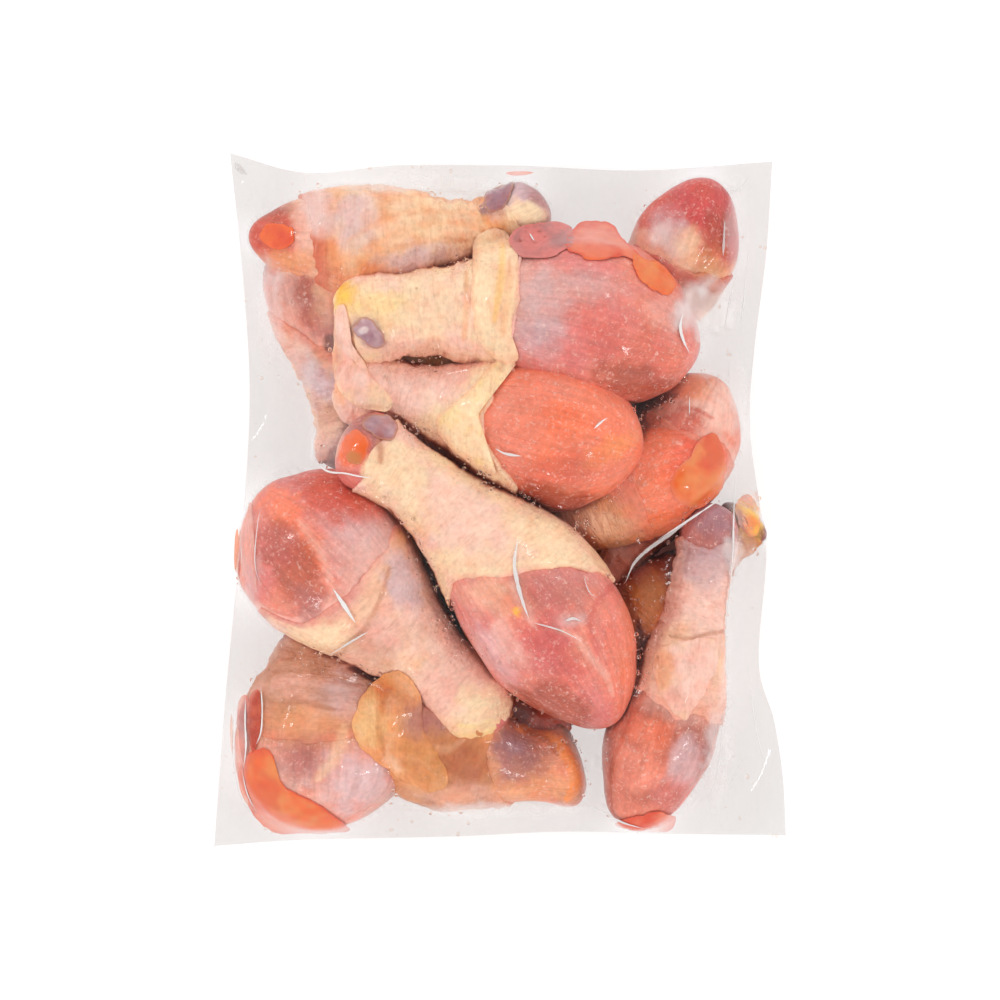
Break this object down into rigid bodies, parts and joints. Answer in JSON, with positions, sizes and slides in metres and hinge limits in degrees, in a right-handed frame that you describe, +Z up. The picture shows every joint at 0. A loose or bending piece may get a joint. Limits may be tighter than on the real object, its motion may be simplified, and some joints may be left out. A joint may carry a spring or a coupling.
{
  "type": "bag of raw chicken drumsticks",
  "caption": "Clear sealed bag packed tight with raw chicken drumsticks in two layers, lying flat on its back.",
  "frame": {"origin": "under the middle of the bag, on the surface that it lies on", "axes": "+Z up out of the shown side, +Y along the bag's longer side, +X to the right as shown"},
  "size_m": [0.19, 0.23, 0.0687],
  "materials": {
    "pack": "clear film over raw meat",
    "film": "clear gloss",
    "meat": "wet",
    "skin": "moist",
    "fat": "moist",
    "cartilage": "wet",
    "juice": "liquid"
  },
  "bodies": {
    "root": {"drumstick_bag": "pack"}
  },
  "joints": []
}
